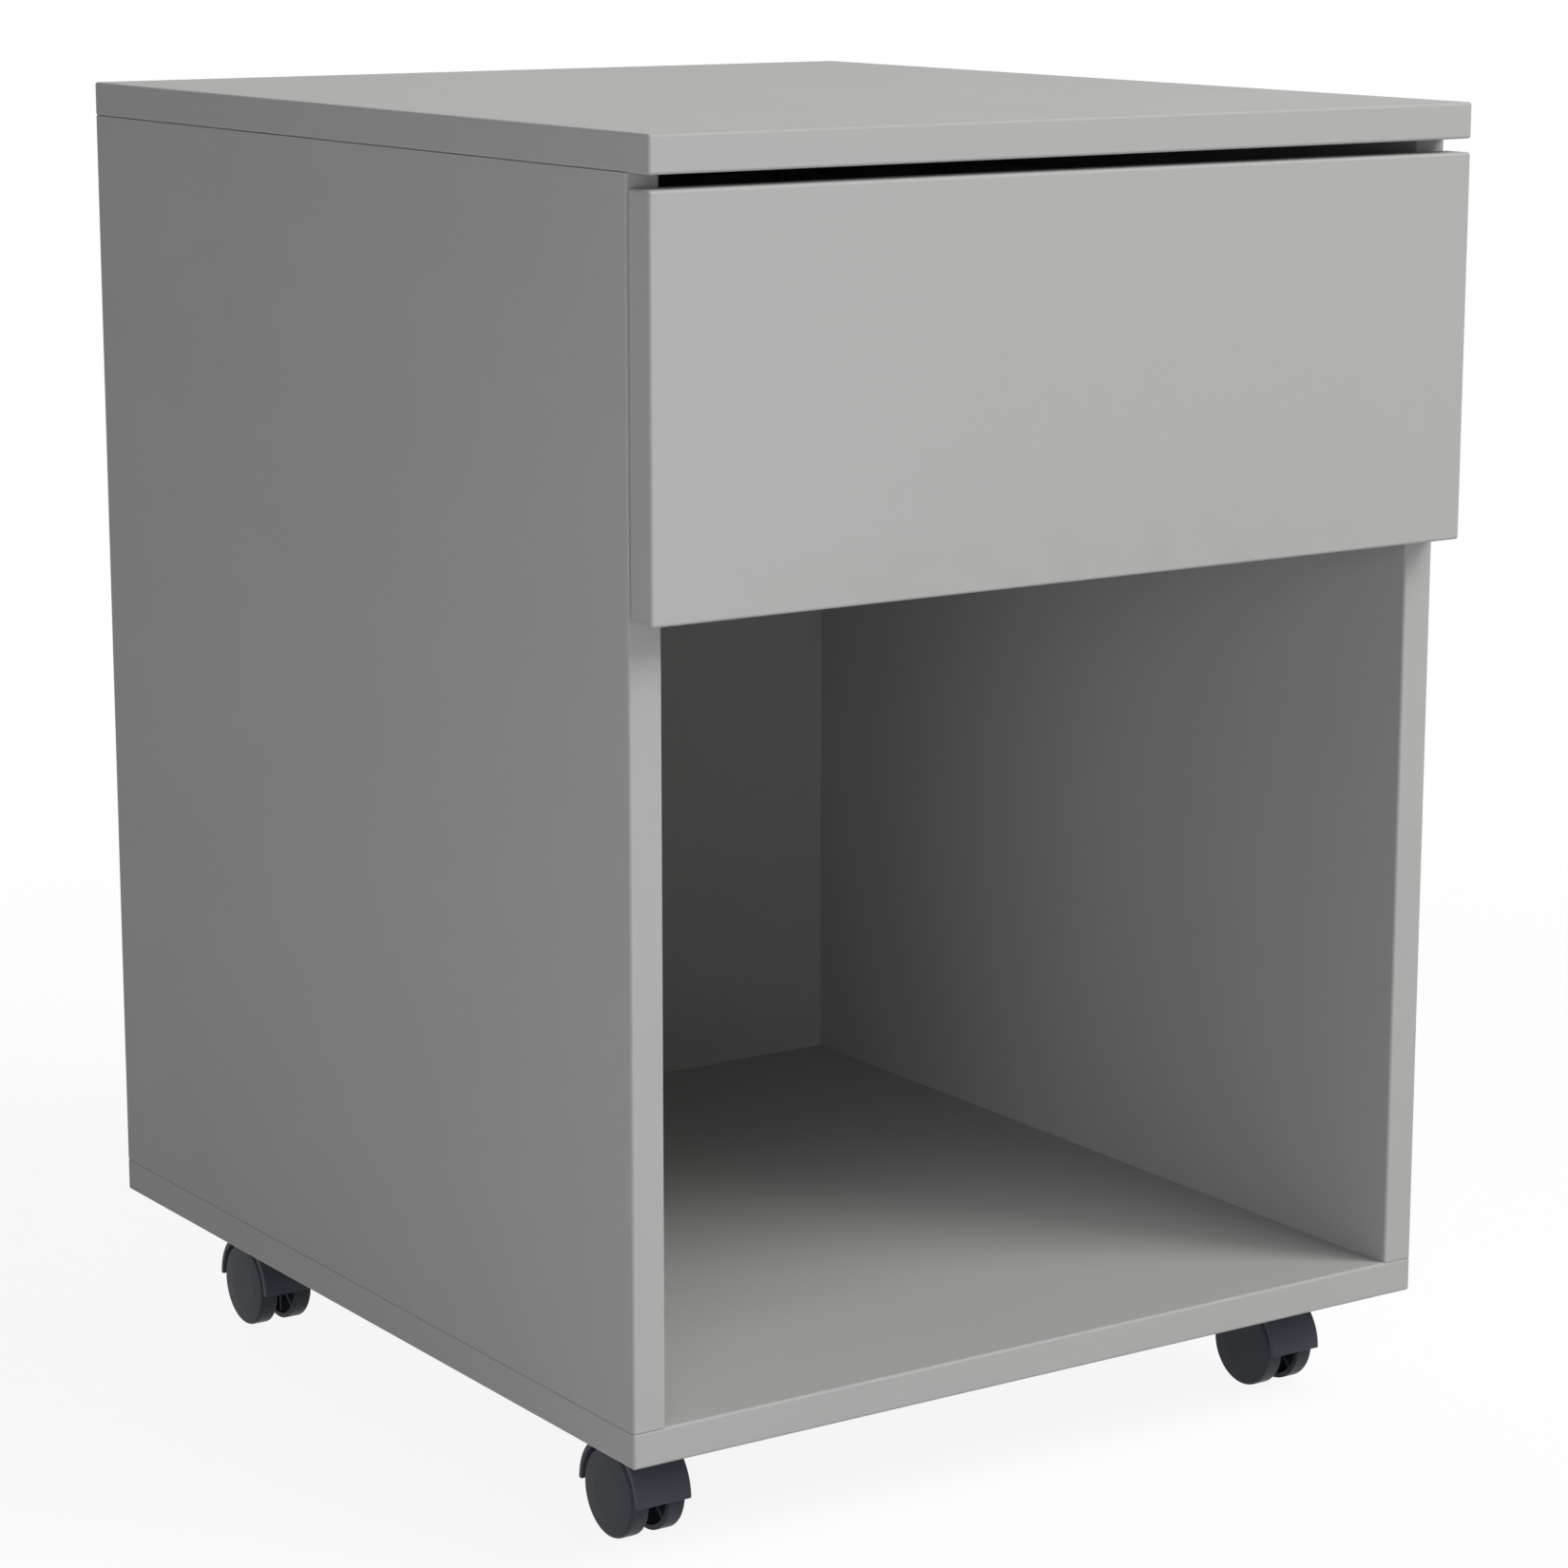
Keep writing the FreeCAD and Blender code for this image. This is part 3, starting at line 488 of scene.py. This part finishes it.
def makeAir(look):
    air = Finish("studioAir", bpy.data.worlds)
    sides = {0: air.place("Generated"), 1: Vector(look["towards"]).normalized()}
    turned = air.add("VectorMath", {"operation": "DOT_PRODUCT"}, sides, "Value")
    dim = air.add("Background", {}, {"Color": look["dimTint"], "Strength": look["dim"]})
    bright = air.add("Background", {}, {"Color": look["brightTint"], "Strength": look["bright"]})
    soft = air.add("MixShader", {}, {0: turned.rise(-look["blend"], look["blend"]), 1: dim, 2: bright})
    white = air.add("Background", {}, {"Color": look["white"], "Strength": 1.0})
    shown = air.add("MixShader", {}, {0: whiteSeen(air), 1: soft, 2: white})
    bpy.context.scene.world = air.add("OutputWorld", {}, {"Surface": shown})


# Lamps: level 1 shows a square-on face as it is coloured, and shine lets gloss see the lamp
warmWhite = (1.0, 1.0, 0.99)
coolWhite = (0.90, 0.90, 1.0)
lamps = {
    "keyLamp": {"place": (2.2, -2.3, 2.6), "size": 1.6, "level": 0.42, "tint": warmWhite, "shine": True},
    "highFront": {"place": (1.2, -2.2, 3.4), "size": 2.4, "level": 0.45, "tint": warmWhite, "shine": False},
    "leftFront": {"place": (-2.3, -2.2, 0.7), "size": 1.6, "level": 0.15, "tint": coolWhite, "shine": False},
    "sideFill": {"place": (-0.8, -0.85, 0.45), "size": 0.4, "level": 0.10, "tint": coolWhite, "shine": False},
    "backFill": {"place": (0.2, 3.2, 0.9), "size": 2.2, "level": 0.38, "tint": warmWhite, "shine": False},
}


def makeLamp(name, look, target):
    data = bpy.data.lights.new(name, "AREA")
    data.shape = "DISK"
    data.size = look["size"]
    data.color = look["tint"]
    aim = target - Vector(look["place"])
    data.energy = look["level"] * (math.pi * aim.length) ** 2
    lamp = bpy.data.objects.new(name, data)
    lamp.location = look["place"]
    lamp.rotation_euler = aim.to_track_quat("-Z", "Y").to_euler()
    lamp.visible_camera = False
    lamp.visible_glossy = look["shine"]
    bpy.context.scene.collection.objects.link(lamp)


# The photograph's camera, found from the corners of the carcass
photoCamera = {
    "place": (-1.13271, -1.70965, 0.71017), "angles": (78.200, -0.035, -33.904),
    "sensor": 36.0, "focalPixels": 4627.5, "imagePixels": 1650.0, "reach": 200.0,
}


def makeCamera(look):
    data = bpy.data.cameras.new("photoCamera")
    data.sensor_width = look["sensor"]
    data.lens = look["sensor"] * look["focalPixels"] / look["imagePixels"]
    data.clip_end = look["reach"]
    camera = bpy.data.objects.new("photoCamera", data)
    camera.location = look["place"]
    camera.rotation_euler = [math.radians(angle) for angle in look["angles"]]
    bpy.context.scene.collection.objects.link(camera)
    bpy.context.scene.camera = camera


makeFloor(studioFloor)
makeAir(studioAir)
middle = (cadBox[0] + cadBox[1]) / 2
for lampName, lampLook in lamps.items():
    makeLamp(lampName, lampLook, middle)
makeCamera(photoCamera)
bpy.context.scene.view_settings.view_transform = "Standard"
print("studio:", len(lamps), "lamps, lens", round(bpy.context.scene.camera.data.lens, 2), "mm")
